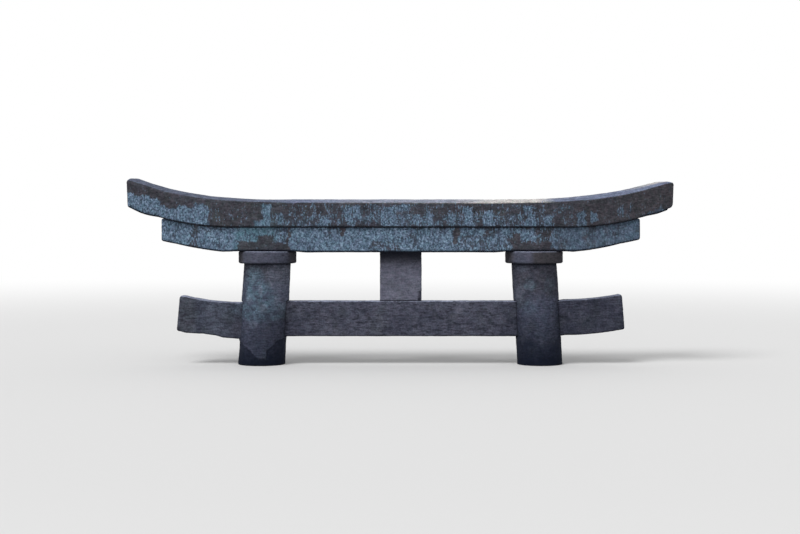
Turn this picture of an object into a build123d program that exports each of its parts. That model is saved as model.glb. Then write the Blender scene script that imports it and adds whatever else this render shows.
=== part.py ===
"""Stone torii gate, from ground level up.

Two round pillars lean towards each other and carry ring caps. A lower and an upper lintel, both with
upturned ends, lie on the caps. A tie beam runs through both pillars, and a strut stands on its middle.

Units are millimetres. X runs along the gate, -Y is the front, Z is up from the ground.
The origin lies on the ground, midway between the pillars.
"""
import os
from math import cos, radians, sqrt, tan

from build123d import *

# Pillars, which taper upward
PILLAR_SPACING = 1758        # between the pillar axes at their tops
PILLAR_HEIGHT = 668          # ground to the underside of the ring caps
PILLAR_FOOT_DIAMETER = 302
PILLAR_TOP_DIAMETER = 290
PILLAR_LEAN = 3.5            # degrees from the vertical
SHAFT_OVERRUN = 0.25         # of the height, past each end before it is cut level

# Round tenon on each pillar, inside its ring cap
TENON_DIAMETER = 150
TENON_CLEARANCE = 1.5        # round the tenon, and above it

# Ring caps
CAP_DIAMETER = 380
CAP_HEIGHT = 79
CAP_EDGE = 6                 # worn off its rims

# Tie beam through the pillars
TIE_BOTTOM = 187             # above the ground
TIE_HEIGHT = 232
TIE_THICKNESS = 112
TIE_HALF_LENGTH = 1474       # at its underside
TIE_END_SETBACK = 20         # of its top, at each end
TIE_END_RISE = 38
MORTISE_CLEARANCE = 2        # beside and above the beam in each pillar

# Strut between the tie beam and the lower lintel
STRUT_WIDTH = 274
STRUT_THICKNESS = 92

# Lower lintel
LOWER_HEIGHT = 160           # at the middle
LOWER_DEPTH = 250
LOWER_HALF_LENGTH = 1560
LOWER_END_RISE = 78          # of its underside
CAP_SEAT_MARGIN = 6          # flat underside kept outside each ring cap

# Upper lintel
UPPER_FACE_HEIGHT = 159      # of the front face at the middle
UPPER_DEPTH = 300
UPPER_HALF_LENGTH = 1776     # at its underside
UPPER_END_OVERHANG = 6       # of its top, at each end
UPPER_UNDERSIDE_FLAT = 1090  # half of the straight stretch
UPPER_UNDERSIDE_RISE = 130
UPPER_TOP_FLAT = 900         # half of the straight stretch
UPPER_TOP_RISE = 144         # of the front face's upper edge
RIDGE_FLAT = 760             # half of the straight stretch of the ridge
RIDGE_HEIGHT = 22            # of the ridge over that edge, at the middle
RIDGE_END_HEIGHT = 19        # and at the ends

# Worn edges
LINTEL_EDGE = 6
BEAM_EDGE = 7                # of the tie beam and the strut
END_CORNER_RADIUS = 14       # of the lintels' and the beam's ends

# What follows from these sizes
pillar_top_x = PILLAR_SPACING / 2
pillar_foot_x = pillar_top_x + PILLAR_HEIGHT * tan(radians(PILLAR_LEAN))
tie_top = TIE_BOTTOM + TIE_HEIGHT
tie_flat = pillar_foot_x + PILLAR_FOOT_DIAMETER / 2
lower_bottom = PILLAR_HEIGHT + CAP_HEIGHT
lower_flat = pillar_top_x + CAP_DIAMETER / 2 + CAP_SEAT_MARGIN
upper_bottom = lower_bottom + LOWER_HEIGHT
upper_face_top = upper_bottom + UPPER_FACE_HEIGHT


class Upturn:
    """Long edge of a lintel or beam: straight over its middle, then an arc up to each end."""

    def __init__(self, level, flat, end, rise):
        self.level = level
        self.flat = flat
        self.radius = ((end - flat) ** 2 + rise**2) / (2 * rise)

    def lines(self, y, end, shift):
        """Left arc, straight and right arc in the plane y, all moved up along their normals by shift."""
        level = self.level + shift
        drop = sqrt((self.radius - shift) ** 2 - (end - self.flat) ** 2)
        end_level = self.level + self.radius - drop
        return [
            TangentArc((-self.flat, y, level), (-end, y, end_level), tangent=(-1, 0, 0)),
            Line((-self.flat, y, level), (self.flat, y, level)),
            TangentArc((self.flat, y, level), (end, y, end_level), tangent=(1, 0, 0)),
        ]


def outline(y, underside, top, underside_end, top_end, inset):
    """Upright face of a lintel or beam in the plane y, smaller by inset all round."""
    lower = underside.lines(y, underside_end - inset, inset)
    upper = top.lines(y, top_end - inset, -inset)
    ends = [Line(lower[0] @ 1, upper[0] @ 1), Line(lower[2] @ 1, upper[2] @ 1)]
    face = Face(Wire(lower + upper + ends))
    end_corners = face.vertices().sort_by(lambda corner: abs(corner.X))[-4:]
    return face.fillet_2d(END_CORNER_RADIUS, end_corners)


def long_block(depth, edge, underside, top, underside_end, top_end, ridge=None):
    """Lintel or beam with worn front and back edges, and with a ridge along its top where it has one."""
    face_y = depth / 2
    edge_y = face_y - edge
    faces = [
        outline(-face_y, underside, top, underside_end, top_end, edge),
        outline(-edge_y, underside, top, underside_end, top_end, 0),
        outline(edge_y, underside, top, underside_end, top_end, 0),
        outline(face_y, underside, top, underside_end, top_end, edge),
    ]
    if ridge:
        faces.insert(2, outline(0, underside, ridge, underside_end, top_end, 0))
    return loft(faces, ruled=True)


upper_underside = Upturn(upper_bottom, UPPER_UNDERSIDE_FLAT, UPPER_HALF_LENGTH, UPPER_UNDERSIDE_RISE)
lower_underside = Upturn(lower_bottom, lower_flat, LOWER_HALF_LENGTH, LOWER_END_RISE)


def make_upper_lintel():
    top_end = UPPER_HALF_LENGTH + UPPER_END_OVERHANG
    ridge_rise = UPPER_TOP_RISE - RIDGE_HEIGHT + RIDGE_END_HEIGHT
    face_top = Upturn(upper_face_top, UPPER_TOP_FLAT, top_end, UPPER_TOP_RISE)
    ridge = Upturn(upper_face_top + RIDGE_HEIGHT, RIDGE_FLAT, top_end, ridge_rise)
    return long_block(UPPER_DEPTH, LINTEL_EDGE, upper_underside, face_top,
                      UPPER_HALF_LENGTH, top_end, ridge)


def make_lower_lintel():
    # Its top follows the upper lintel's underside, which lies on it.
    return long_block(LOWER_DEPTH, LINTEL_EDGE, lower_underside, upper_underside,
                      LOWER_HALF_LENGTH, LOWER_HALF_LENGTH)


def make_tie_beam():
    top_end = TIE_HALF_LENGTH - TIE_END_SETBACK
    underside = Upturn(TIE_BOTTOM, tie_flat, TIE_HALF_LENGTH, TIE_END_RISE)
    top = Upturn(tie_top, tie_flat, top_end, TIE_END_RISE)
    return long_block(TIE_THICKNESS, BEAM_EDGE, underside, top, TIE_HALF_LENGTH, top_end)


def make_strut():
    height = lower_bottom - tie_top
    block = Box(STRUT_WIDTH, STRUT_THICKNESS, height)
    block = fillet(block.edges().filter_by(Axis.Z), BEAM_EDGE)
    return Pos(0, 0, tie_top + height / 2) * block


def make_pillar(side):
    """Leaning pillar, cut level at the ground and under its cap. side is -1 on the left, 1 on the right."""
    # The tapered shaft runs on past both level cuts.
    length = (1 + 2 * SHAFT_OVERRUN) * PILLAR_HEIGHT / cos(radians(PILLAR_LEAN))
    extra_taper = SHAFT_OVERRUN * (PILLAR_FOOT_DIAMETER - PILLAR_TOP_DIAMETER) / 2
    shaft = Cone(PILLAR_FOOT_DIAMETER / 2 + extra_taper, PILLAR_TOP_DIAMETER / 2 - extra_taper, length)
    middle = Pos(side * (pillar_foot_x + pillar_top_x) / 2, 0, PILLAR_HEIGHT / 2)
    shaft = middle * Rot(0, -side * PILLAR_LEAN, 0) * shaft
    shaft &= middle * Box(PILLAR_SPACING, PILLAR_SPACING, PILLAR_HEIGHT)
    tenon = Cylinder(TENON_DIAMETER / 2, CAP_HEIGHT - TENON_CLEARANCE)
    tenon = Pos(side * pillar_top_x, 0, PILLAR_HEIGHT + (CAP_HEIGHT - TENON_CLEARANCE) / 2) * tenon
    mortise = Box(PILLAR_SPACING, TIE_THICKNESS + 2 * MORTISE_CLEARANCE, TIE_HEIGHT + MORTISE_CLEARANCE)
    mortise = Pos(side * pillar_foot_x, 0, TIE_BOTTOM + (TIE_HEIGHT + MORTISE_CLEARANCE) / 2) * mortise
    return shaft + tenon - mortise


def make_cap(side):
    """Ring cap on the top of a pillar."""
    disc = Cylinder(CAP_DIAMETER / 2, CAP_HEIGHT)
    disc = chamfer(disc.edges(), CAP_EDGE)
    ring = disc - Cylinder(TENON_DIAMETER / 2 + TENON_CLEARANCE, CAP_HEIGHT)
    return Pos(side * pillar_top_x, 0, PILLAR_HEIGHT + CAP_HEIGHT / 2) * ring


os.makedirs("parts", exist_ok=True)
export_step(make_upper_lintel(), "parts/kasagi_upper_lintel.step")
export_step(make_lower_lintel(), "parts/shimaki_lower_lintel.step")
export_step(make_tie_beam(), "parts/nuki_tie_beam.step")
export_step(make_strut(), "parts/gakuzuka_strut.step")
for name, side in (("left", -1), ("right", 1)):
    export_step(make_pillar(side), f"parts/{name}_pillar.step")
    export_step(make_cap(side), f"parts/{name}_cap_ring.step")
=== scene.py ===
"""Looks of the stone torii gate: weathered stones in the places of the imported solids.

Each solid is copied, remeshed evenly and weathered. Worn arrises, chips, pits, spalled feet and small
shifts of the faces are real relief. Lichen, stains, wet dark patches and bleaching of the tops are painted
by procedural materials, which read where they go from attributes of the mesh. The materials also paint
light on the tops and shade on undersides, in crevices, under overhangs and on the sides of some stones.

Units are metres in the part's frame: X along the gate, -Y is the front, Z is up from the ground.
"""
from itertools import product
from math import radians

import bpy
import numpy as np
from mathutils.bvhtree import BVHTree
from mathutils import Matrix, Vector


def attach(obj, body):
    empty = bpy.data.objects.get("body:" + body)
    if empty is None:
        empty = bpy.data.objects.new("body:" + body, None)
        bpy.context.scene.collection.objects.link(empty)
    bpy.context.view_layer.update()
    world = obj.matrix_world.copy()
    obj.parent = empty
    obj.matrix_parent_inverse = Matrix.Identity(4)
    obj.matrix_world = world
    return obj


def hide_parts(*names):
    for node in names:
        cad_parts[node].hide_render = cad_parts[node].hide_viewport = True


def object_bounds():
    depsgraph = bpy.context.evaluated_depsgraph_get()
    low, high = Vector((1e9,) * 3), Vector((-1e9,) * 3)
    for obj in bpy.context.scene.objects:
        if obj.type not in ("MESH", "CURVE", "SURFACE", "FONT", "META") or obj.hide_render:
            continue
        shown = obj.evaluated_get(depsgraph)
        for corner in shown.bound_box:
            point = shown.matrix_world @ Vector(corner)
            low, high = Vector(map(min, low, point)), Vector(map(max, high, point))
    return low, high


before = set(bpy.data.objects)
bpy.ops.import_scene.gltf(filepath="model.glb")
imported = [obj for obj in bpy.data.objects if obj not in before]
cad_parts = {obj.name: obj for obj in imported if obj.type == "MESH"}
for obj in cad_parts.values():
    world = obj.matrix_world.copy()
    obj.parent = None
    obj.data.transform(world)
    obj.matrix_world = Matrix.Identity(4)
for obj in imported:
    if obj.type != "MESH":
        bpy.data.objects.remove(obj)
cad_low, cad_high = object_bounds()

# The camera stands where the photograph was taken.
PHOTO_WIDTH = 800            # pixels
FOCAL_PIXELS = 1511
CAMERA_PLACE = (-0.005, -9.97, 1.0)
CAMERA_PITCH = -2.06         # degrees

# Light, and the floor under the gate
SUN_STRENGTH = 2.05
SUN_TILT = 38                # degrees off the zenith
SUN_TURN = 38                # degrees from the front towards the left
SUN_WIDTH = 28               # degrees across, so that its shadows are soft
SKY_STRENGTH = 0.63
FLOOR_RADIUS = 60
FLOOR_FADE_FROM = 4          # distance from the gate's middle
FLOOR_FADE_TO = 14
FLOOR_GREY = 214             # of 255
WHITE = (1, 1, 1, 1)

# Places on the gate
LOWER_END_X = 1.56           # where the lower lintel ends, left and right
UPPER_ARRIS_Z = 1.066        # upper arris of the upper lintel's front, over the middle
PILLAR_FOOT_X = 0.920        # axis of a pillar at the ground
PILLAR_TOP_X = 0.879         # and under its ring cap
PILLAR_HEIGHT = 0.668
PILLAR_RADIUS = 0.148        # halfway up

CONTACT_GAP = 0.003          # stones nearer to each other than this are in contact
CREVICE_GAP = 0.007          # and painted shade and grime darken them where they are nearer than this
COLUMN_WIDTH = 0.02          # of the columns in which a stone's own height is taken


# Noise

SEED = 17
LATTICE = 256                # cells before the noise repeats
NOISE_GAIN = 1.6             # brings noise to about -1 to 1
LAYERS_SUM = 1.5             # and brings fractal noise back to that

# Offsets, so that no pattern of noise lies on another
LAYER_OFFSET = 7.3
CHIP_OFFSET = 3.1
PIT_OFFSET = -5.7
PATCH_X_OFFSET = 11.9
PATCH_HEIGHT_OFFSET = -2.2
LICHEN_GAP_OFFSET = 4.4

random = np.random.default_rng(SEED)
SHUFFLE = random.permutation(LATTICE)
SLOPES = random.normal(size=(LATTICE, 3))
SLOPES /= np.linalg.norm(SLOPES, axis=1, keepdims=True)
SPOTS = random.random((LATTICE, 3))


def shuffled(cells):
    """A fixed random number from 0 to 255 for each cell of a lattice."""
    x, y, z = (cells % LATTICE).T
    return SHUFFLE[(SHUFFLE[(SHUFFLE[x] + y) % LATTICE] + z) % LATTICE]


def noise(points, size):
    """Smooth noise from about -1 to 1, with bumps and hollows about size across."""
    places = points / size
    cells = np.floor(places).astype(int)
    inside = places - cells
    fade = inside**3 * (inside * (inside * 6 - 15) + 10)
    total = np.zeros(len(points))
    for corner in product((0, 1), repeat=3):
        slopes = SLOPES[shuffled(cells + corner)]
        weight = np.prod(np.where(corner, fade, 1 - fade), axis=1)
        total += weight * np.einsum("ij,ij->i", slopes, inside - corner)
    return total * NOISE_GAIN


def fractal(points, size, octaves=4):
    """Noise with finer noise on it, from about -1 to 1."""
    layers = [noise(points + LAYER_OFFSET * n, size / 2**n) / 2**n for n in range(octaves)]
    return sum(layers) / LAYERS_SUM


def nearest_spot(points, size):
    """Distance to the nearest of many scattered spots that lie about size apart, in units of size."""
    places = points / size
    cells = np.floor(places).astype(int)
    nearest = np.full(len(points), 2.0)
    for step in product((-1, 0, 1), repeat=3):
        neighbours = cells + step
        spots = neighbours + SPOTS[shuffled(neighbours)]
        nearest = np.minimum(nearest, np.linalg.norm(spots - places, axis=1))
    return nearest


def ramp(values, low, high):
    """0 below low, 1 above high, and a smooth step between them."""
    share = np.clip((values - low) / (high - low), 0, 1)
    return share * share * (3 - 2 * share)


def within(values, low, high, blur):
    """1 between low and high and 0 outside, with a smooth step over blur to both sides of each."""
    return ramp(values, low - blur, low + blur) * (1 - ramp(values, high - blur, high + blur))


def along(x, table):
    """What a table of places and values says at each x, in straight lines from one place to the next."""
    places, values = zip(*table)
    return np.interp(x, places, values)


# Stones

def evenly_meshed(solid, voxel):
    """Copy of a solid's mesh in even quads about voxel across."""
    copy = bpy.data.objects.new("copy", solid.data.copy())
    bpy.context.scene.collection.objects.link(copy)
    remesh = copy.modifiers.new("remesh", "REMESH")
    remesh.mode = "VOXEL"
    remesh.voxel_size = voxel
    evaluated = copy.evaluated_get(bpy.context.evaluated_depsgraph_get())
    mesh = bpy.data.meshes.new_from_object(evaluated)
    bpy.data.objects.remove(copy)
    return mesh


def read(collection, name, width, kind=float):
    """A property of all items of a mesh collection as an array."""
    values = np.empty(len(collection) * width, np.float32 if kind is float else np.int32)
    collection.foreach_get(name, values)
    return values.reshape(-1, width).astype(kind)


class Stone:
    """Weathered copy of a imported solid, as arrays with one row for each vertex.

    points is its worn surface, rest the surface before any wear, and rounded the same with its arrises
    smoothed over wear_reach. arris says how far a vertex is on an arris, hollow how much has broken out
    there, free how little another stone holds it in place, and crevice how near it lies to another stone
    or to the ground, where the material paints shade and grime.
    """

    def __init__(self, node, voxel, wear_reach):
        self.node = node
        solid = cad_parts[node]
        corners = read(solid.data.vertices, "co", 3)
        self.low = corners.min(axis=0)
        self.high = corners.max(axis=0)
        self.mesh = evenly_meshed(solid, voxel)
        self.edges = read(self.mesh.edges, "vertices", 2, int)
        self.points = read(self.mesh.vertices, "co", 3)
        self.normals = read(self.mesh.vertex_normals, "vector", 3)
        self.rest = self.points.copy()
        rounds = round((wear_reach / voxel) ** 2)
        self.rounded = self.smoothed(self.points, rounds)
        inset = np.einsum("ij,ij->i", self.points - self.rounded, self.normals)
        self.arris = ramp(inset, 0.1 * wear_reach, 0.35 * wear_reach)
        self.hollow = np.zeros(len(self.points))
        gap = self.gap()
        contact = 1 - ramp(gap, 0.4 * CONTACT_GAP, CONTACT_GAP)
        self.free = 1 - contact * (1 - self.arris)
        self.crevice = 1 - ramp(gap, CONTACT_GAP, CREVICE_GAP)

    def smoothed(self, values, rounds):
        """values, each averaged with those of its neighbours, rounds times over."""
        first, second = self.edges.T
        count = len(values)
        links = np.bincount(first, minlength=count) + np.bincount(second, minlength=count)
        for _ in range(rounds):
            columns = []
            for column in values.T:
                total = np.bincount(first, column[second], count)
                total += np.bincount(second, column[first], count)
                columns.append((column + total) / (links + 1))
            values = np.stack(columns, axis=1)
        return values

    def gap(self):
        """Distance of each vertex to the ground or the nearest other stone, up to the width of a crevice."""
        corners = []
        faces = []
        for name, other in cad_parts.items():
            if name != self.node:
                faces += [[len(corners) + i for i in face.vertices] for face in other.data.polygons]
                corners += [vertex.co for vertex in other.data.vertices]
        others = BVHTree.FromPolygons(corners, faces)
        found = [others.find_nearest(point, CREVICE_GAP)[3] for point in self.points.tolist()]
        gap = np.array([CREVICE_GAP if distance is None else distance for distance in found])
        return np.minimum(gap, self.points[:, 2])

    def front_x(self):
        """X on the front, and on the back that of the front's mirror image."""
        return np.where(self.rest[:, 1] < 0, self.rest[:, 0], -self.rest[:, 0])

    def height_share(self):
        """Where each vertex lies between the stone's underside, 0, and its top, 1, at the same X."""
        column = np.round(self.rest[:, 0] / COLUMN_WIDTH).astype(int)
        column -= column.min()
        lowest = np.full(column.max() + 1, np.inf)
        highest = np.full(column.max() + 1, -np.inf)
        np.minimum.at(lowest, column, self.rest[:, 2])
        np.maximum.at(highest, column, self.rest[:, 2])
        return (self.rest[:, 2] - lowest[column]) / (highest - lowest)[column]

    def sink(self, depth):
        """Moves the surface in by depth where it is free."""
        self.points -= self.normals * (depth * self.free)[:, None]

    def wear_arrises(self, least, most, size):
        """Rounds the arrises by a share from least to most that changes over about size."""
        share = least + (most - least) * ramp(fractal(self.rest, size), -0.5, 0.6)
        share *= self.arris * self.free * (1 - 0.8 * self.crevice)
        self.points += (self.rounded - self.points) * share[:, None]

    def chip_arrises(self, depth, size, amount):
        """Breaks chips about size long off the arrises, over about amount of their length."""
        chips = ramp(fractal(self.rest + CHIP_OFFSET, size, octaves=3), 0.55 - amount, 0.7 - amount)
        self.sink(depth * chips * self.arris)
        self.hollow += 0.5 * chips * self.arris

    def roughen(self, depth, size, stretch=(1, 1, 1)):
        """Bumps and hollows of that depth and size, longer along an axis that has a stretch over 1."""
        self.sink(depth * fractal(self.rest / stretch, size))

    def pit(self, depth, size, amount, stretch=(1, 1, 1)):
        """Pits of that depth, in patches that cover about amount of the surface."""
        bowls = 1 - ramp(nearest_spot(self.rest / stretch, size), 0.1, 0.42)
        bowls *= ramp(noise(self.rest + PIT_OFFSET, 6 * size), 0.35 - amount, 0.75 - amount)
        self.sink(depth * bowls)
        self.hollow += bowls

    def scoop(self, centre, radii, depth):
        """A broken hollow round centre, with radii along the three axes."""
        offset = (self.rest - centre) / radii
        reach = np.linalg.norm(offset, axis=1) + 0.25 * noise(self.rest, 0.03)
        bowl = 1 - ramp(reach, 0.4, 1)
        self.sink(depth * bowl)
        self.hollow += 0.4 * bowl

    def shift_front_top(self, shifts):
        """Moves the top up or down by shifts: X, shift of the front arris, shift of the ridge.

        The shift of the ridge runs out over the back half.
        """
        places, at_arris, at_ridge = zip(*shifts)
        x, y, _ = self.rest.T
        half_depth = self.high[1]
        across = np.clip(-y / half_depth, 0, 1)
        shift = across * np.interp(x, places, at_arris) + (1 - across) * np.interp(x, places, at_ridge)
        running_out = 1 - ramp(y, 0, half_depth)
        self.points[:, 2] += shift * running_out * ramp(self.height_share(), 0.5, 0.9)

    def shift_underside(self, shifts, kept=0):
        """Moves the underside up or down by shifts: X, and how far. It stays in place where kept is 1."""
        lower_half = 1 - ramp(self.height_share(), 0.1, 0.5)
        self.points[:, 2] += along(self.rest[:, 0], shifts) * lower_half * (1 - kept)

    def round_corner(self, centre_x, centre_z, radius, above):
        """Rounds the corner of an end, seen from the front: the outer one above or below a centre."""
        offset = self.points[:, (0, 2)] - (centre_x, centre_z)
        distance = np.linalg.norm(offset, axis=1)
        outside = offset * (np.sign(centre_x), 1 if above else -1) > 0
        corner = outside.all(axis=1) & (distance > radius)
        pull = np.where(corner, 1 - radius / np.maximum(distance, radius), 0)
        self.points[:, 0] -= pull * offset[:, 0]
        self.points[:, 2] -= pull * offset[:, 1]

    def finish(self, slot, **amounts):
        """Makes the object that stands for the solid, with the amounts that its material reads."""
        shape = np.clip(self.points, cad_low, cad_high)
        self.mesh.vertices.foreach_set("co", shape.astype(np.float32).ravel())
        self.mesh.shade_smooth()
        from_shape = {"arris": self.arris, "hollow": self.hollow, "crevice": self.crevice}
        for name, amount in (USUAL_AMOUNTS | amounts | from_shape).items():
            values = np.clip(np.zeros(len(shape)) + amount, 0, 1)
            attribute = self.mesh.attributes.new(name, "FLOAT", "POINT")
            attribute.data.foreach_set("value", values.astype(np.float32))
        self.mesh.materials.clear()
        self.mesh.materials.append(materials[slot])
        self.mesh.update()
        stone = bpy.data.objects.new(self.node + "_stone", self.mesh)
        bpy.context.scene.collection.objects.link(stone)
        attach(stone, "root")
        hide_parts(self.node)


# What the materials read for each vertex, where a stone doesn't say otherwise
USUAL_AMOUNTS = {
    "lichen": 0,             # how dense the crust of lichen is
    "faded": 0,              # how much of that crust is gone
    "teal": 0,               # how green-blue the lichen and the stone round it are
    "damp_and_shade": 0,               # dark stain of earth and water, and painted shade
    "brown": 0.2,            # brown tone of the stone
    "pale": 0,               # light tone of the stone, and painted light on some stones
    "bleach_and_top_light": 0.5,           # how light the tops are, by bleaching and painted light from above
    "dashes": 0.1,           # how dark the short dents along it are
    "contrast": 0.9,         # how mottled it is
}


# Lichen, as patches on the lintels' fronts: X from and to, share of the face's height from and to,
# and how dense it is. The backs have the mirror image.
UPPER_LICHEN = (
    (-1.80, -1.68, 0.00, 0.50, 0.95),
    (-1.68, -1.56, 0.00, 0.58, 0.92),
    (-1.56, -1.45, 0.00, 0.38, 0.88),
    (-1.45, -1.34, 0.00, 0.52, 0.90),
    (-1.34, -1.25, 0.00, 0.62, 0.95),
    (-1.25, -1.00, 0.00, 0.60, 0.28),
    (-0.95, -0.85, 0.00, 0.25, 0.92),
    (-0.90, -0.85, 0.25, 0.78, 0.80),
    (-0.85, -0.65, 0.03, 0.50, 0.52),
    (-0.81, -0.77, 0.14, 0.52, 0.70),
    (-0.75, 0.95, 0.03, 0.82, 0.38),
    (-0.75, 0.95, 0.03, 0.48, 0.52),
    (-0.53, -0.47, 0.00, 0.36, 0.97),
    (-0.37, -0.32, 0.25, 0.74, 0.80),
    (-0.32, -0.25, 0.05, 0.78, 0.62),
    (-0.25, -0.12, 0.05, 0.82, 0.55),
    (-0.12, -0.03, 0.05, 0.74, 0.78),
    (-0.03, 0.05, 0.58, 0.80, 0.80),
    (-0.03, 0.18, 0.00, 0.50, 0.62),
    (0.18, 0.21, 0.08, 0.48, 0.95),
    (0.24, 0.40, 0.03, 0.40, 0.60),
    (0.41, 0.47, 0.06, 0.72, 0.92),
    (0.53, 0.60, 0.06, 0.62, 0.88),
    (0.80, 0.85, 0.45, 0.76, 0.80),
    (0.82, 0.88, 0.05, 0.48, 0.80),
    (0.93, 0.98, 0.05, 0.42, 0.80),
    (0.98, 1.12, 0.05, 0.75, 0.42),
    (1.14, 1.20, 0.03, 0.50, 0.72),
    (1.23, 1.28, 0.16, 0.44, 0.88),
    (1.41, 1.45, 0.20, 0.52, 0.62),
    (1.46, 1.50, 0.05, 0.50, 0.45),
    (1.60, 1.64, 0.00, 0.16, 0.70),
    (1.65, 1.71, 0.00, 0.20, 0.60),
)
LOWER_LICHEN = (
    (-1.57, -1.37, 0.00, 1.00, 0.92),
    (-1.38, -1.31, 0.00, 1.00, 0.50),
    (-1.32, -1.07, 0.00, 1.00, 0.90),
    (-1.07, -0.93, 0.48, 1.00, 0.95),
    (-0.93, -0.83, 0.72, 1.00, 0.92),
    (-0.83, -0.74, 0.40, 1.00, 0.72),
    (-0.72, -0.65, 0.00, 0.96, 1.00),
    (-0.65, -0.48, 0.00, 1.00, 0.94),
    (-0.48, -0.44, 0.00, 1.00, 0.80),
    (-0.44, -0.20, 0.00, 0.64, 0.97),
    (-0.44, -0.40, 0.64, 1.00, 0.85),
    (-0.36, -0.20, 0.64, 1.00, 0.95),
    (-0.20, 0.00, 0.44, 1.00, 0.94),
    (-0.20, 0.00, 0.00, 0.44, 0.60),
    (0.00, 0.26, 0.00, 1.00, 0.82),
    (0.26, 0.37, 0.00, 0.30, 0.93),
    (0.26, 0.34, 0.30, 1.00, 0.88),
    (0.39, 0.52, 0.68, 1.00, 0.90),
    (0.37, 0.72, 0.00, 0.66, 0.66),
    (0.52, 0.62, 0.66, 1.00, 0.55),
    (0.62, 0.72, 0.68, 1.00, 0.94),
    (0.72, 0.79, 0.82, 1.00, 0.62),
    (0.79, 0.88, 0.43, 0.95, 0.82),
    (0.88, 0.98, 0.45, 1.00, 0.48),
    (0.98, 1.08, 0.15, 1.00, 0.66),
    (1.08, 1.19, 0.00, 1.00, 0.92),
    (1.19, 1.35, 0.00, 1.00, 0.70),
    (1.35, 1.45, 0.00, 1.00, 0.76),
    (1.45, 1.57, 0.00, 1.00, 0.86),
)
PATCH_BLUR = 0.012
PATCH_BLUR_SHARE = 0.07      # of the face's height
PATCH_OVERLAP = 0.005        # past their X, so that neighbours meet
PATCH_RAGGED = 0.02          # how far their borders wander along X
PATCH_RAGGED_SHARE = 0.10    # and up and down, as a share of the face's height
PATCH_RAG_SIZE = 0.04
LEAST_LICHEN = 0.14          # on the front and the back
OTHER_LICHEN = 0.25          # on the top, the underside and the ends


def lintel_lichen(stone, patches):
    """Density of lichen: that of the patches on the front and the back, and an even one elsewhere."""
    front_x = stone.front_x() + PATCH_RAGGED * fractal(stone.rest + PATCH_X_OFFSET, PATCH_RAG_SIZE)
    share = stone.height_share()
    share += PATCH_RAGGED_SHARE * fractal(stone.rest + PATCH_HEIGHT_OFFSET, PATCH_RAG_SIZE)
    density = np.zeros(len(share))
    for x_from, x_to, share_from, share_to, strength in patches:
        patch = within(front_x, x_from - PATCH_OVERLAP, x_to + PATCH_OVERLAP, PATCH_BLUR)
        patch *= within(share, share_from - PATCH_BLUR_SHARE, share_to, PATCH_BLUR_SHARE)
        density = np.maximum(density, strength * patch)
    gaps = fractal(stone.rest + LICHEN_GAP_OFFSET, 0.05)
    density = np.clip(density * (1 + 0.45 * gaps), LEAST_LICHEN, 1)
    on_face = ramp(np.abs(stone.normals[:, 1]), 0.5, 0.8)
    return density * on_face + OTHER_LICHEN * (1 - on_face)


def front_spots(stone, spots):
    """Ragged spots on the front: X, Z, reach along X, reach along Z and strength of each."""
    x, y, z = (stone.rest + 0.006 * fractal(stone.rest, 0.02)[:, None]).T
    total = np.zeros(len(x))
    for spot_x, spot_z, reach_x, reach_z, strength in spots:
        reach = np.hypot((x - spot_x) / reach_x, (z - spot_z) / reach_z)
        total = np.maximum(total, strength * (1 - ramp(reach, 0.5, 1)))
    return total * ramp(-y, 0, 0.03)


# Materials

def linear(red, green, blue):
    """Colour for a shader from the 0 to 255 of a picture, by the curve of sRGB."""
    shares = np.array([red, green, blue]) / 255
    return (*np.where(shares <= 0.04045, shares / 12.92, ((shares + 0.055) / 1.055) ** 2.4), 1)


class NodeTree:
    """Tree of shader nodes, built by short calls."""

    def __init__(self, tree):
        self.tree = tree

    def add(self, kind, sockets=None, **settings):
        """New node with its settings, and its sockets set or linked."""
        node = self.tree.nodes.new(kind)
        for name, value in settings.items():
            setattr(node, name, value)
        for name, value in (sockets or {}).items():
            self.plug(node.inputs[name], value)
        return node

    def plug(self, socket, value):
        """Links a socket to an output, or sets it to a value."""
        if isinstance(value, bpy.types.NodeSocket):
            self.tree.links.new(value, socket)
        else:
            socket.default_value = value

    def maths(self, operation, first, second):
        return self.add("ShaderNodeMath", {0: first, 1: second}, operation=operation).outputs[0]

    def product(self, first, second):
        return self.maths("MULTIPLY", first, second)


class Shading(NodeTree):
    """Node tree of a material."""

    def __init__(self, name):
        self.material = bpy.data.materials.new(name)
        self.material.use_nodes = True
        super().__init__(self.material.node_tree)
        self.shader = self.tree.nodes["Principled BSDF"]
        self.place = self.add("ShaderNodeTexCoord").outputs["Object"]

    def attribute(self, name):
        return self.add("ShaderNodeAttribute", attribute_name=name).outputs["Fac"]

    def noise(self, size, detail=3.0, roughness=0.5, stretch=(1, 1, 1)):
        """Noise from about 0.2 to 0.8, with bumps about size across."""
        scale = [1 / (size * factor) for factor in stretch]
        place = self.add("ShaderNodeVectorMath", {0: self.place, 1: scale}, operation="MULTIPLY")
        sockets = {"Vector": place.outputs[0], "Scale": 1.0, "Detail": detail, "Roughness": roughness}
        return self.add("ShaderNodeTexNoise", sockets).outputs["Fac"]

    def ramp(self, value, low, high, least=0.0, most=1.0):
        """Smooth step from least at low to most at high. Each may be a socket, and low the greater."""
        sockets = {"Value": value, "From Min": low, "From Max": high, "To Min": least, "To Max": most}
        return self.add("ShaderNodeMapRange", sockets, interpolation_type="SMOOTHSTEP").outputs[0]

    def mix(self, share, first, second):
        """Colour that goes from first to second as share goes from 0 to 1."""
        sockets = {0: share, 6: first, 7: second}
        return self.add("ShaderNodeMix", sockets, data_type="RGBA").outputs[2]

    def scaled(self, colour, factor):
        return self.add("ShaderNodeVectorMath", {0: colour, "Scale": factor}, operation="SCALE").outputs[0]

    def mottle(self, colour, pattern, contrast):
        """Colour made darker by contrast where the pattern is low, and lighter by it where it is high."""
        swing = self.product(self.ramp(pattern, 0.35, 0.65, least=-1.0, most=1.0), contrast)
        return self.scaled(colour, self.maths("ADD", 1.0, swing))


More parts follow.
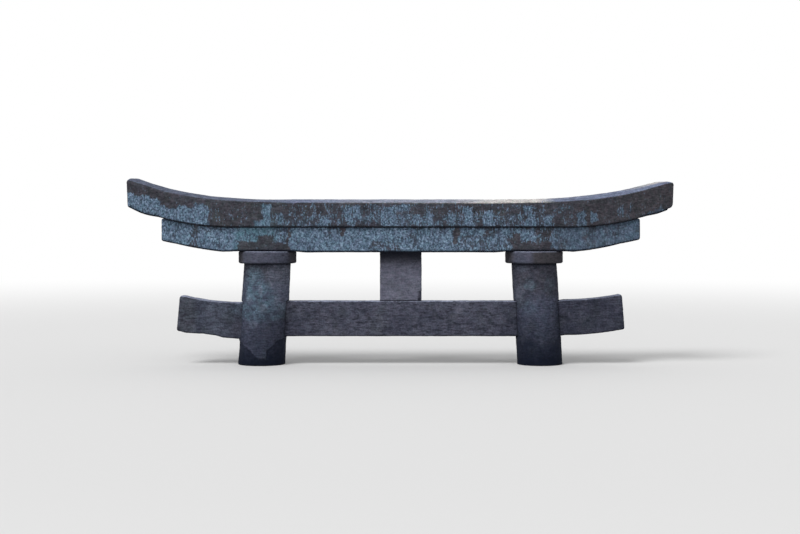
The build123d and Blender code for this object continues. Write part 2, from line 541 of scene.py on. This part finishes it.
BROWN = linear(64, 62, 66)
GREEN = linear(66, 74, 70)
LICHEN_DARK = linear(64, 78, 95)
LICHEN_GREY = linear(88, 106, 126)
LICHEN_PALE = linear(131, 154, 175)
TEAL = linear(82, 116, 129)
COOL_TINT = (0.9, 1.03, 1.0, 1)
WARM_TINT = (1.07, 0.97, 1.01, 1)
# Colour of dark stains, and of painted shade
STAIN_AND_SHADE = linear(18, 23, 36)
# Colour of painted shade and grime
SHADE_AND_GRIME = linear(16, 18, 25)


class StoneShading(Shading):
    """Shading of weathered stone, with its patterns and the amounts that several layers read."""

    def __init__(self, name):
        super().__init__(name)
        self.arris = self.attribute("arris")
        self.contrast = self.attribute("contrast")
        self.density = self.attribute("lichen")
        self.teal = self.attribute("teal")
        self.blotches = self.noise(0.05, detail=5.0, roughness=0.65)
        self.streaks = self.noise(0.009, roughness=0.6, stretch=(4, 4, 1))
        self.grain = self.noise(0.011, roughness=0.7)
        self.crust = self.noise(0.010, roughness=0.6, stretch=(1, 1, 1.4))
        normal = self.add("ShaderNodeNewGeometry").outputs["Normal"]
        self.facing_up = self.add("ShaderNodeSeparateXYZ", {0: normal}).outputs["Z"]

    def bare_stone(self, dark, light, bleached_and_lit, pale, tinting):
        """Stone between two tones, lighter where it faces up, by bleaching and painted light from above, and
        where it is worn, with its stains and dents.
        """
        colour = self.mix(self.ramp(self.noise(0.2), 0.38, 0.62), dark, light)
        colour = self.mix(self.ramp(self.noise(0.09), 0.52, 0.7, most=0.6 * tinting), colour, GREEN)
        brown = self.maths("ADD", self.attribute("brown"), self.maths("SUBTRACT", self.blotches, 0.5))
        colour = self.mix(brown, colour, BROWN)
        teal = self.product(self.teal, self.ramp(self.blotches, 0.35, 0.6, least=0.1, most=0.5))
        colour = self.mix(teal, colour, TEAL)
        # Tops made lighter: bleaching, and painted light from above
        upward = self.ramp(self.facing_up, 0.45, 0.9)
        colour = self.mix(self.product(upward, self.attribute("bleach_and_top_light")), colour, bleached_and_lit)
        colour = self.mix(self.attribute("pale"), colour, pale)
        worn = self.product(self.arris, self.ramp(self.grain, 0.4, 0.6))
        colour = self.mix(self.product(worn, 0.12), colour, bleached_and_lit)
        # Pits and chips darker: painted shade and grime in them
        colour = self.mix(self.product(self.attribute("hollow"), 0.4), colour, STAIN_AND_SHADE)
        colour = self.mottle(colour, self.blotches, self.product(self.contrast, 0.2))
        colour = self.mottle(colour, self.streaks, self.product(self.contrast, 0.25))
        dashes = self.product(self.ramp(self.streaks, 0.42, 0.32), self.attribute("dashes"))
        return self.scaled(colour, self.maths("SUBTRACT", 1.0, dashes))

    def lichen_cover(self):
        """How much lichen hides the stone, in flecks and drips that join up where it is dense."""
        drips = self.noise(0.009, detail=2.0, stretch=(1, 1, 4))
        pattern = self.maths("ADD", self.product(self.crust, 0.4), self.product(drips, 0.35))
        pattern = self.maths("ADD", pattern, self.product(self.blotches, 0.25))
        edge = self.maths("SUBTRACT", 0.59, self.product(self.density, 0.2))
        cover = self.ramp(pattern, edge, self.maths("ADD", edge, 0.08))
        cover = self.product(cover, self.ramp(self.density, 0.0, 0.2))
        return self.product(cover, self.maths("SUBTRACT", 1.0, self.attribute("faded")))

    def lichen(self):
        """Colour of the lichen: dark between its grains, and lightest on dense crust."""
        colour = self.mix(self.ramp(self.grain, 0.38, 0.52), LICHEN_DARK, LICHEN_GREY)
        lightest = self.ramp(self.blotches, 0.38, 0.6, least=0.4, most=1.0)
        lightest = self.product(self.ramp(self.crust, 0.48, 0.66), lightest)
        lightest = self.product(lightest, self.ramp(self.density, 0.3, 0.9, least=0.35, most=1.0))
        colour = self.mix(lightest, colour, LICHEN_PALE)
        return self.mix(self.product(self.teal, 0.7), colour, TEAL)

    def tinted(self, colour, tinting):
        """Colour in patches of cooler and warmer hue."""
        tint = self.mix(self.ramp(self.noise(0.022, detail=2.0), 0.35, 0.65), COOL_TINT, WARM_TINT)
        tint = self.mix(tinting, WHITE, tint)
        return self.add("ShaderNodeVectorMath", {0: colour, 1: tint}, operation="MULTIPLY").outputs[0]

    def shaded(self, colour):
        """Colour with painted shade and grime on undersides, the most at their arrises, and in crevices."""
        # Painted shade, with grime, on faces that turn down
        downward = self.ramp(self.facing_up, -0.15, -0.6)
        underside_shade_and_grime = self.ramp(self.arris, 0.0, 1.0, least=0.45, most=0.85)
        colour = self.mix(self.product(downward, underside_shade_and_grime), colour, SHADE_AND_GRIME)
        # Painted shade and grime where a stone nears another stone or the ground
        return self.mix(self.product(self.attribute("crevice"), 0.8), colour, SHADE_AND_GRIME)

    def finish(self, colour, cover):
        """Gives the shader its colour, a dull surface, and fine relief that stands up under lichen."""
        relief = self.maths("ADD", self.grain, self.product(self.streaks, 0.5))
        relief = self.maths("ADD", relief, self.product(cover, 0.25))
        bump = self.add("ShaderNodeBump", {"Height": relief, "Strength": 0.6, "Distance": 0.003})
        self.plug(self.shader.inputs["Base Color"], colour)
        self.plug(self.shader.inputs["Roughness"], self.ramp(self.grain, 0.3, 0.7, least=0.75, most=0.98))
        self.plug(self.shader.inputs["Normal"], bump.outputs[0])
        self.plug(self.shader.inputs["Specular IOR Level"], 0.06)


def stone_material(name, dark, light, bleached_and_lit, pale, tinting):
    """Weathered stone of these tones. tinting is how much its hue changes over it."""
    shading = StoneShading(name)
    colour = shading.bare_stone(dark, light, bleached_and_lit, pale, tinting)
    cover = shading.lichen_cover()
    under_lichen = shading.ramp(shading.density, 0.35, 0.9, most=0.8)
    colour = shading.mix(under_lichen, colour, LICHEN_DARK)
    colour = shading.mix(cover, colour, shading.lichen())
    # Dark stains of earth and water, and painted shade, as much as each stone gives
    colour = shading.mix(shading.attribute("damp_and_shade"), colour, STAIN_AND_SHADE)
    colour = shading.tinted(colour, tinting)
    colour = shading.mottle(colour, shading.grain, shading.product(shading.contrast, 0.25))
    shading.finish(shading.shaded(colour), cover)
    return shading.material


materials = {
    "lintel_stone": stone_material(
        "lintel",
        dark=linear(58, 59, 67),
        light=linear(68, 70, 80),
        bleached_and_lit=linear(118, 127, 154),
        # colour of the painted sunlight on the upper lintel's top
        pale=linear(205, 200, 194),
        tinting=0.6,
    ),
    "beam_stone": stone_material(
        "beam",
        dark=linear(63, 65, 79),
        light=linear(74, 76, 90),
        bleached_and_lit=linear(140, 145, 166),
        pale=linear(150, 150, 168),
        tinting=0.3,
    ),
    "pillar_stone": stone_material(
        "pillar",
        dark=linear(63, 67, 83),
        light=linear(72, 77, 95),
        bleached_and_lit=linear(122, 128, 148),
        pale=linear(150, 158, 178),
        tinting=0.4,
    ),
}


# The gate

# How far the upper lintel's top lies from its solid on the front: X, at the arris and at the ridge
UPPER_TOP_SHIFTS = (
    (-1.78, 0.009, 0.009),
    (-1.73, 0.010, 0.010),
    (-1.70, 0.010, 0.007),
    (-1.64, 0.008, 0.001),
    (-1.52, 0.001, -0.007),
    (-1.43, 0.003, -0.009),
    (-1.25, 0.005, -0.010),
    (-1.10, 0.009, -0.006),
    (-0.90, 0.007, -0.004),
    (-0.70, 0.003, 0.000),
    (0.60, 0.002, 0.000),
    (0.92, 0.008, 0.000),
    (1.14, 0.006, -0.002),
    (1.25, 0.001, -0.004),
    (1.45, -0.001, -0.004),
    (1.62, 0.000, 0.002),
    (1.69, 0.000, 0.000),
    (1.72, 0.000, -0.008),
    (1.79, -0.010, -0.024),
)

# How far its underside lies from its solid, and how much shorter its right end is
UPPER_UNDERSIDE_SHIFTS = (
    (-1.76, 0.000),
    (-1.69, -0.008),
    (-1.65, -0.007),
    (-1.60, -0.003),
    (-1.57, 0.000),
    (1.60, 0.000),
    (1.67, -0.008),
    (1.78, -0.008),
)
UPPER_RIGHT_SETBACK = 0.008

# How light its top is along X, by bleaching and painted light from above, and how strong the painted patches
# of sunlight on it are
UPPER_TOP_LIGHT_AND_BLEACH = (
    (-1.7, 0.40),
    (-1.5, 0.35),
    (-1.0, 0.40),
    (-0.6, 0.80),
    (0.7, 0.85),
    (1.0, 0.70),
    (1.7, 0.70),
)
UPPER_TOP_SUN_PATCHES = (
    (-0.60, 0.00),
    (-0.30, 0.15),
    (0.30, 0.20),
    (0.45, 0.40),
    (0.60, 0.80),
    (0.90, 0.85),
    (1.00, 0.10),
    (1.45, 0.00),
    (1.58, 0.40),
    (1.65, 0.90),
    (1.70, 0.70),
    (1.76, 0.05),
)

# How far the lower lintel's underside lies from its solid where nothing stands under it
LOWER_UNDERSIDE_SHIFTS = (
    (-1.56, -0.008),
    (-1.45, 0.000),
    (-1.30, 0.000),
    (-1.16, -0.005),
    (-1.08, 0.000),
    (-0.69, 0.000),
    (-0.62, -0.006),
    (0.62, -0.006),
    (0.69, 0.000),
    (1.08, 0.000),
    (1.12, -0.003),
    (1.18, 0.000),
    (1.33, 0.006),
    (1.43, 0.010),
    (1.56, 0.000),
)

# How far the tie beam lies from its solid outside the pillars, at its top and at its underside
TIE_TOP_SHIFTS = (
    (-1.45, -0.001),
    (-1.42, 0.002),
    (-1.25, -0.008),
    (-1.06, -0.011),
    (-1.03, 0.000),
    (1.03, 0.000),
    (1.08, 0.008),
)
TIE_UNDERSIDE_SHIFTS = (
    (-1.45, -0.001),
    (-1.42, -0.005),
    (-1.38, -0.002),
    (-1.29, 0.003),
    (-1.22, 0.000),
    (-1.17, -0.012),
    (-1.06, -0.018),
    (-1.03, 0.000),
    (1.03, 0.000),
    (1.08, 0.008),
)

# How dark the tie beam is along X: stains, and painted shade near the pillars
TIE_STAIN_AND_SHADE = (
    (-1.25, 0.06),
    (-1.18, 0.15),
    (-1.10, 0.28),
    (-0.80, 0.25),
    (-0.70, 0.15),
    (-0.58, 0.00),
    (0.58, 0.00),
    (0.70, 0.28),
    (1.10, 0.33),
)


def weather_lintel(stone):
    stone.wear_arrises(least=0.0, most=0.45, size=0.1)
    stone.roughen(depth=0.0018, size=0.35)
    stone.roughen(depth=0.0008, size=0.07)
    stone.roughen(depth=0.0006, size=0.02)
    stone.pit(depth=0.0018, size=0.03, amount=0.3)
    stone.pit(depth=0.0010, size=0.016, amount=0.45)
    stone.chip_arrises(depth=0.004, size=0.07, amount=0.05)


def lower_arris_shade(stone):
    """Painted shade along the lower arris of a lintel, where no stone lies right under it."""
    return 0.9 * (1 - ramp(stone.height_share(), 0.05, 0.1)) * (1 - stone.crevice)


def build_upper_lintel():
    """Upper lintel, with its top and its ends shifted and rounded as in the photograph."""
    stone = Stone("kasagi_upper_lintel", voxel=0.0065, wear_reach=0.018)
    x, y, _ = stone.rest.T
    stone.shift_front_top(UPPER_TOP_SHIFTS)
    stone.shift_underside(UPPER_UNDERSIDE_SHIFTS)
    stone.round_corner(centre_x=-1.762, centre_z=1.204, radius=0.020, above=True)
    stone.round_corner(centre_x=1.741, centre_z=1.061, radius=0.035, above=False)
    stone.points[:, 0] -= UPPER_RIGHT_SETBACK * ramp(x, 1.6, 1.78)
    weather_lintel(stone)
    stone.scoop(centre=(-0.72, stone.low[1], UPPER_ARRIS_Z), radii=(0.05, 0.05, 0.025), depth=0.005)
    upright = 1 - ramp(stone.normals[:, 2], 0.2, 0.5)
    under_top = within(stone.height_share(), 0.86, 0.97, 0.03)
    free_ends = ramp(np.abs(x), LOWER_END_X - 0.02, LOWER_END_X + 0.01)
    # Painted sunlight on the whole front half of the top up to X 1, and only near its ridge from there on
    sunlit_half = np.where(x < 1, 1, ramp(y, -0.09, -0.02)) * (1 - ramp(y, 0.0, 0.08))
    ragged_x = x + 0.08 * fractal(stone.rest, 0.12)
    density = lintel_lichen(stone, UPPER_LICHEN)
    stone.finish(
        "lintel_stone",
        lichen=density,
        faded=0.3 * ramp(x, 0.9, 1.1),
        teal=0.4 * density * within(stone.front_x(), -0.96, -0.76, 0.02),
        # Darker just under the top's front arris and on the right part, and painted shade along the free
        # ends' lower arris
        damp_and_shade=upright * (0.45 * under_top + 0.15 * ramp(x, 0.5, 1.1) + free_ends * lower_arris_shade(stone)),
        brown=0.45 + 0.3 * ramp(x, 0.9, 1.2) + 0.2 * ramp(x, 1.4, 1.6),
        pale=(1 - upright) * sunlit_half * along(ragged_x, UPPER_TOP_SUN_PATCHES),
        bleach_and_top_light=along(ragged_x, UPPER_TOP_LIGHT_AND_BLEACH),
        dashes=0,
    )


def build_lower_lintel():
    """Lower lintel, whose seat on the strut stays where it is in its solid."""
    stone = Stone("shimaki_lower_lintel", voxel=0.0056, wear_reach=0.016)
    x, y, _ = stone.rest.T
    # 1 over the strut, and 0 beside it
    over_strut = (1 - ramp(np.abs(x), 0.15, 0.17)) * (1 - ramp(np.abs(y), 0.06, 0.09))
    stone.shift_underside(LOWER_UNDERSIDE_SHIFTS, kept=over_strut)
    stone.crevice *= 0.5
    weather_lintel(stone)
    density = lintel_lichen(stone, LOWER_LICHEN)
    stone.finish(
        "lintel_stone",
        lichen=density,
        faded=0.6 * ramp(x, 0.9, 1.1),
        teal=0.8 * density * within(stone.front_x(), -1.08, -0.8, 0.03),
        # Painted shade along its lower arris
        damp_and_shade=lower_arris_shade(stone),
        brown=0.6 - 0.3 * ramp(x, 1.0, 1.1),
        dashes=0,
    )


def build_tie_beam():
    """Tie beam, pitted and dented along its length, with both ends shifted as in the photograph."""
    stone = Stone("nuki_tie_beam", voxel=0.0052, wear_reach=0.014)
    x, _, z = stone.rest.T
    share = stone.height_share()
    stone.points[:, 2] += share * along(x, TIE_TOP_SHIFTS)
    stone.points[:, 2] += (1 - share) * along(x, TIE_UNDERSIDE_SHIFTS)
    stone.crevice *= 0.6
    stone.wear_arrises(least=0.1, most=0.6, size=0.1)
    stone.roughen(depth=0.0015, size=0.3)
    stone.roughen(depth=0.0012, size=0.03, stretch=(3, 1, 1))
    stone.pit(depth=0.0025, size=0.02, amount=0.55, stretch=(2.5, 1, 0.7))
    stone.chip_arrises(depth=0.004, size=0.07, amount=0.08)
    left_end = 1 - ramp(x, -1.2, -1.05)
    by_left_pillar = within(x, -1.13, -1.02, 0.04) * ramp(z, 0.28, 0.36)
    low_at_right_end = ramp(x, 1.02, 1.1) * (1 - ramp(z, 0.26, 0.40))
    stone.finish(
        "beam_stone",
        lichen=0.1 * by_left_pillar,
        teal=0.15 * left_end + 0.3 * by_left_pillar,
        damp_and_shade=along(x, TIE_STAIN_AND_SHADE) + 0.12 * low_at_right_end,
        brown=0.1 + 0.4 * (1 - ramp(x, -1.38, -1.32)),
        pale=0.04 * within(x, 0.25, 0.53, 0.05),
        bleach_and_top_light=0.9,
        dashes=0.45 - 0.25 * ramp(np.abs(x), 0.9, 1.05),
        contrast=1.0,
    )


def build_strut():
    """Strut, with painted shade at its top under the lower lintel and painted light below that, with its
    front right edge broken off near the foot.
    """
    stone = Stone("gakuzuka_strut", voxel=0.005, wear_reach=0.014)
    stone.wear_arrises(least=0.2, most=1.0, size=0.08)
    stone.roughen(depth=0.002, size=0.1)
    stone.roughen(depth=0.001, size=0.02)
    stone.pit(depth=0.0015, size=0.016, amount=0.4)
    stone.scoop(centre=(stone.high[0], stone.low[1], 0.43), radii=(0.035, 0.05, 0.06), depth=0.025)
    # Painted shade, dark and brown, at the top under the lower lintel's overhang, and painted light, a paler
    # tone, below it
    shade_under_lintel = ramp(stone.rest[:, 2], 0.635, 0.735)
    stone.finish(
        "beam_stone",
        damp_and_shade=0.75 * shade_under_lintel,
        brown=0.9 * shade_under_lintel,
        pale=0.2 * (1 - shade_under_lintel),
        contrast=0.6,
    )


def build_cap(node, side, brown_from):
    """Ring cap, brown and darker to the right of the X brown_from, with painted shade in brown and dark on
    its left and right sides.
    """
    stone = Stone(node, voxel=0.0042, wear_reach=0.014)
    stone.wear_arrises(least=0.1, most=0.6, size=0.1)
    stone.roughen(depth=0.002, size=0.12)
    stone.roughen(depth=0.0008, size=0.02)
    stone.pit(depth=0.0015, size=0.02, amount=0.4, stretch=(2, 2, 1))
    x = stone.rest[:, 0]
    # Painted shade on the sides, which turn away from the light under the lower lintel
    shaded_flanks = ramp(np.abs(x - side * PILLAR_TOP_X), 0.13, 0.17)
    brown = np.maximum(ramp(x, brown_from, brown_from + 0.05), shaded_flanks)
    stone.finish(
        "beam_stone",
        damp_and_shade=0.15 * brown + 0.08 * shaded_flanks,
        brown=brown,
        bleach_and_top_light=0.7,
        contrast=0.6,
    )


# Where the skin of the pillars has come off above the ground: X, and the height of its ragged edge
LEFT_SPALL = (
    (-1.08, 0.170),
    (-1.01, 0.125),
    (-0.93, 0.047),
    (-0.88, 0.047),
    (-0.876, 0.10),
    (-0.82, 0.155),
    (-0.74, 0.190),
)
RIGHT_SPALL = (
    (0.74, 0.20),
    (0.80, 0.17),
    (0.86, 0.19),
    (0.92, 0.15),
    (0.98, 0.16),
    (1.04, 0.19),
    (1.10, 0.17),
)
SPALL_DEPTH = 0.005          # how thick that skin was

# Spots on the pillars: X, Z, reach along X, reach along Z and strength
LEFT_TEAL = (
    (-0.95, 0.54, 0.08, 0.14, 0.9),
    (-0.92, 0.43, 0.13, 0.15, 0.9),
    (-0.94, 0.36, 0.14, 0.10, 0.8),
    (-0.82, 0.36, 0.10, 0.08, 0.6),
)
LEFT_PALE = (
    (-0.91, 0.50, 0.018, 0.05, 0.8),
    (-0.985, 0.435, 0.022, 0.03, 0.8),
    (-0.815, 0.46, 0.018, 0.05, 0.5),
    (-0.955, 0.57, 0.015, 0.03, 0.6),
    (-0.89, 0.38, 0.03, 0.035, 0.6),
    (-0.96, 0.27, 0.04, 0.03, 0.5),
    (-0.80, 0.59, 0.09, 0.12, 0.7),
    (-0.79, 0.47, 0.06, 0.16, 0.5),
)
RIGHT_TEAL = (
    (0.84, 0.53, 0.05, 0.05, 0.6),
    (0.97, 0.53, 0.05, 0.07, 0.3),
    (0.84, 0.38, 0.06, 0.06, 0.3),
)
RIGHT_PALE = (
    (0.80, 0.635, 0.05, 0.025, 0.8),
    (0.84, 0.53, 0.04, 0.035, 0.35),
    (0.78, 0.47, 0.04, 0.08, 0.45),
    (0.92, 0.16, 0.02, 0.06, 0.4),
)


def build_pillar(node, side, swell, damp_and_shade, left_flank_shade, right_flank_shade, brown_from,
                 spall, spall_blur, teal_spots, pale_spots):
    """Pillar, left of the middle where side is -1 and right of it where side is 1.

    swell is how far its surface stands out from its solid. The next three say how dark it is all over
    and how much painted shade darkens its left and right sides, and brown_from the height from which it is
    brown.
    """
    stone = Stone(node, voxel=0.0052, wear_reach=0.012)
    stone.sink(-swell)
    stone.wear_arrises(least=0.2, most=0.8, size=0.1)
    stone.roughen(depth=0.003, size=0.25)
    stone.roughen(depth=0.0012, size=0.04)
    stone.roughen(depth=0.0010, size=0.018, stretch=(2, 2, 1))
    stone.pit(depth=0.0015, size=0.025, amount=0.4)
    x, _, z = stone.rest.T
    ragged = fractal(stone.rest, 0.03)
    spall_edge = along(x, spall) + 0.008 * ragged
    spalled = 1 - ramp(z, spall_edge - spall_blur, spall_edge + spall_blur)
    stone.sink(SPALL_DEPTH * spalled)
    axis_x = np.interp(z, (0, PILLAR_HEIGHT), (side * PILLAR_FOOT_X, side * PILLAR_TOP_X))
    across = (x - axis_x) / PILLAR_RADIUS
    # Painted shade on the sides, which turn away from the light
    shaded_flanks = left_flank_shade * ramp(-across, 0.8, 1.0) + right_flank_shade * ramp(across, 0.65, 1.0)
    # Painted shade under the cap's overhang
    shade_under_cap = 0.5 * ramp(z, 0.640, 0.665)
    # Darker towards the ground: stain of earth, and painted shade near the ground
    soil_and_shade = 0.5 * (1 - ramp(z, 0.1, 0.42))
    wet = 0.8 + 0.1 * ragged + 0.2 * (1 - ramp(z, 0, 0.14))
    teal = front_spots(stone, teal_spots)
    stone.finish(
        "pillar_stone",
        lichen=0.25 * teal,
        teal=0.7 * teal,
        damp_and_shade=np.maximum(spalled * wet, damp_and_shade + soil_and_shade + shaded_flanks + shade_under_cap),
        brown=0.15 + 0.4 * ramp(z, brown_from, brown_from + 0.15),
        pale=0.22 * front_spots(stone, pale_spots),
        dashes=0.15,
    )


build_upper_lintel()
build_lower_lintel()
build_tie_beam()
build_strut()
# All of the left cap lies left of X 0, so it is brown only where its sides are painted in shade.
build_cap("left_cap_ring", side=-1, brown_from=0.0)
build_cap("right_cap_ring", side=1, brown_from=0.83)
build_pillar(
    "left_pillar",
    side=-1,
    swell=0.009,
    damp_and_shade=0.0,
    left_flank_shade=0.3,
    right_flank_shade=0.0,
    brown_from=0.50,
    spall=LEFT_SPALL,
    spall_blur=0.004,
    teal_spots=LEFT_TEAL,
    pale_spots=LEFT_PALE,
)
build_pillar(
    "right_pillar",
    side=1,
    swell=0.003,
    damp_and_shade=0.1,
    left_flank_shade=0.2,
    right_flank_shade=0.25,
    brown_from=0.38,
    spall=RIGHT_SPALL,
    spall_blur=0.04,
    teal_spots=RIGHT_TEAL,
    pale_spots=RIGHT_PALE,
)


# Stage: floor, light and camera

def add_floor():
    """Pale floor that keeps the gate's shadow, and fades into the white backdrop far from it."""
    bpy.ops.mesh.primitive_circle_add(vertices=96, radius=FLOOR_RADIUS, fill_type="NGON")
    floor = bpy.context.object
    floor.name = "floor"
    shading = Shading("floor")
    shading.plug(shading.shader.inputs["Base Color"], linear(FLOOR_GREY, FLOOR_GREY, FLOOR_GREY))
    shading.plug(shading.shader.inputs["Roughness"], 0.9)
    shading.plug(shading.shader.inputs["Specular IOR Level"], 0.1)
    distance = shading.add("ShaderNodeVectorMath", {0: shading.place}, operation="LENGTH").outputs["Value"]
    far = shading.ramp(distance, FLOOR_FADE_FROM, FLOOR_FADE_TO)
    seen = shading.add("ShaderNodeLightPath").outputs["Is Camera Ray"]
    white = shading.add("ShaderNodeEmission").outputs[0]
    sockets = {0: shading.product(far, seen), 1: shading.shader.outputs[0], 2: white}
    faded = shading.add("ShaderNodeMixShader", sockets).outputs[0]
    shading.plug(shading.tree.nodes["Material Output"].inputs["Surface"], faded)
    floor.data.materials.append(shading.material)


def add_world():
    """White backdrop, seen straight, mirrored or through clear matter, and soft light from all round."""
    world = bpy.data.worlds.new("sky")
    bpy.context.scene.world = world
    world.use_nodes = True
    sky = NodeTree(world.node_tree)
    light = sky.tree.nodes["Background"]
    sky.plug(light.inputs["Color"], WHITE)
    sky.plug(light.inputs["Strength"], SKY_STRENGTH)
    backdrop = sky.add("ShaderNodeBackground", {"Color": WHITE})
    rays = sky.add("ShaderNodeLightPath").outputs
    shown = sky.maths("MAXIMUM", rays["Is Camera Ray"], rays["Is Glossy Ray"])
    shown = sky.maths("MAXIMUM", shown, rays["Is Transmission Ray"])
    sockets = {0: shown, 1: light.outputs[0], 2: backdrop.outputs[0]}
    mixed = sky.add("ShaderNodeMixShader", sockets).outputs[0]
    sky.plug(sky.tree.nodes["World Output"].inputs["Surface"], mixed)


def add_sun():
    """Soft light from the front, the left and above."""
    light = bpy.data.lights.new("key", "SUN")
    light.energy = SUN_STRENGTH
    light.angle = radians(SUN_WIDTH)
    sun = bpy.data.objects.new("key", light)
    sun.rotation_euler = (radians(SUN_TILT), 0, radians(-SUN_TURN))
    bpy.context.scene.collection.objects.link(sun)


def add_camera():
    camera = bpy.data.objects.new("camera", bpy.data.cameras.new("camera"))
    camera.location = CAMERA_PLACE
    camera.rotation_euler = (radians(90 + CAMERA_PITCH), 0, 0)
    camera.data.lens = FOCAL_PIXELS / PHOTO_WIDTH * camera.data.sensor_width
    bpy.context.scene.collection.objects.link(camera)
    bpy.context.scene.camera = camera


add_floor()
add_world()
add_sun()
add_camera()
bpy.context.scene.view_settings.view_transform = "Standard"
